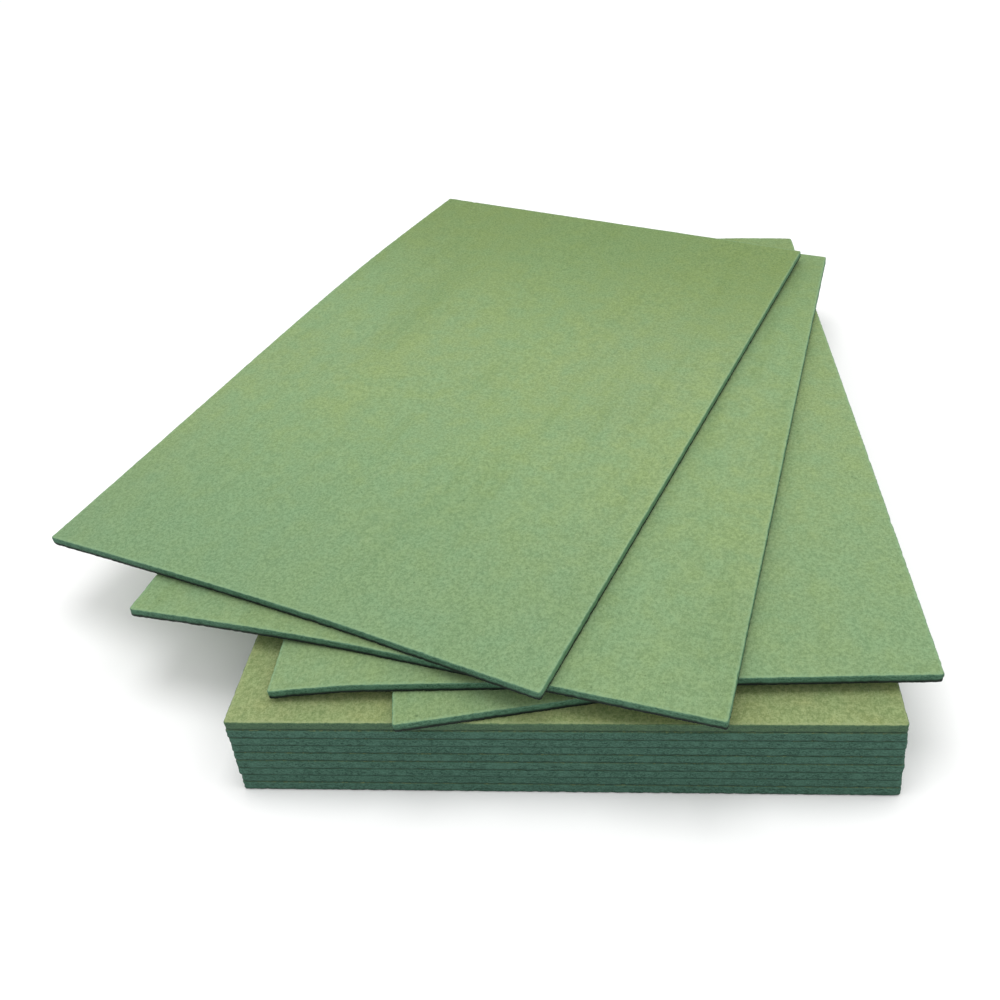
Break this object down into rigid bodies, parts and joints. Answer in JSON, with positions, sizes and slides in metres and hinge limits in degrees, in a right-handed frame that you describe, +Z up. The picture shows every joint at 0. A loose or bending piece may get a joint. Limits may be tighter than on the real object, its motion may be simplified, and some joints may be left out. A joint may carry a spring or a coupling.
{
  "type": "stack of wood-fibre underlay boards",
  "caption": "Neat stack of thin green wood-fibre boards with loose boards turned at different angles lying on top, each one separate and free to lift off.",
  "frame": {"origin": "centre of the bottom board's underside", "axes": "+Z up; +Y along the long sides of the neat stack, towards the end that the loose boards fan out over at the back; +X to the right seen from the front"},
  "size_m": [0.9058, 1.0291, 0.1302],
  "materials": {
    "stack_fibreboard": "matt pressed wood fibre, dyed olive green, with dark teal cut edges",
    "loose_fibreboard": "matt pressed wood fibre, dyed sage green, with dark teal cut edges"
  },
  "bodies": {
    "bottom_board": {"bottom_board": "stack_fibreboard"},
    "stack_board_2": {"stack_board_2": "stack_fibreboard"},
    "stack_board_3": {"stack_board_3": "stack_fibreboard"},
    "stack_board_4": {"stack_board_4": "stack_fibreboard"},
    "stack_board_5": {"stack_board_5": "stack_fibreboard"},
    "stack_board_6": {"stack_board_6": "stack_fibreboard"},
    "stack_board_7": {"stack_board_7": "stack_fibreboard"},
    "stack_board_8": {"stack_board_8": "stack_fibreboard"},
    "stack_board_9": {"stack_board_9": "stack_fibreboard"},
    "trimmed_board": {"trimmed_board": "loose_fibreboard"},
    "lower_loose_board": {"lower_loose_board": "loose_fibreboard"},
    "middle_loose_board": {"middle_loose_board": "loose_fibreboard"},
    "top_loose_board": {"top_loose_board": "loose_fibreboard"}
  },
  "joints": [
    {"name": "stack_board_2_lift", "type": "slide", "parent": "bottom_board", "child": "stack_board_2", "axis": [0, 0, 1], "range_m": [0, 0.02]},
    {"name": "stack_board_3_lift", "type": "slide", "parent": "stack_board_2", "child": "stack_board_3", "axis": [0, 0, 1], "range_m": [0, 0.02]},
    {"name": "stack_board_4_lift", "type": "slide", "parent": "stack_board_3", "child": "stack_board_4", "axis": [0, 0, 1], "range_m": [0, 0.02]},
    {"name": "stack_board_5_lift", "type": "slide", "parent": "stack_board_4", "child": "stack_board_5", "axis": [0, 0, 1], "range_m": [0, 0.02]},
    {"name": "stack_board_6_lift", "type": "slide", "parent": "stack_board_5", "child": "stack_board_6", "axis": [0, 0, 1], "range_m": [0, 0.02]},
    {"name": "stack_board_7_lift", "type": "slide", "parent": "stack_board_6", "child": "stack_board_7", "axis": [0, 0, 1], "range_m": [0, 0.02]},
    {"name": "stack_board_8_lift", "type": "slide", "parent": "stack_board_7", "child": "stack_board_8", "axis": [0, 0, 1], "range_m": [0, 0.02]},
    {"name": "stack_board_9_lift", "type": "slide", "parent": "stack_board_8", "child": "stack_board_9", "axis": [0, 0, 1], "range_m": [0, 0.02]},
    {"name": "trimmed_board_lift", "type": "slide", "parent": "stack_board_9", "child": "trimmed_board", "axis": [0, 0, 1], "range_m": [0, 0.03]},
    {"name": "lower_loose_board_lift", "type": "slide", "parent": "trimmed_board", "child": "lower_loose_board", "axis": [0, 0, 1], "range_m": [0, 0.03]},
    {"name": "middle_loose_board_lift", "type": "slide", "parent": "lower_loose_board", "child": "middle_loose_board", "axis": [0, 0, 1], "range_m": [0, 0.03]},
    {"name": "top_loose_board_lift", "type": "slide", "parent": "middle_loose_board", "child": "top_loose_board", "axis": [0, 0, 1], "range_m": [0, 0.03]}
  ]
}
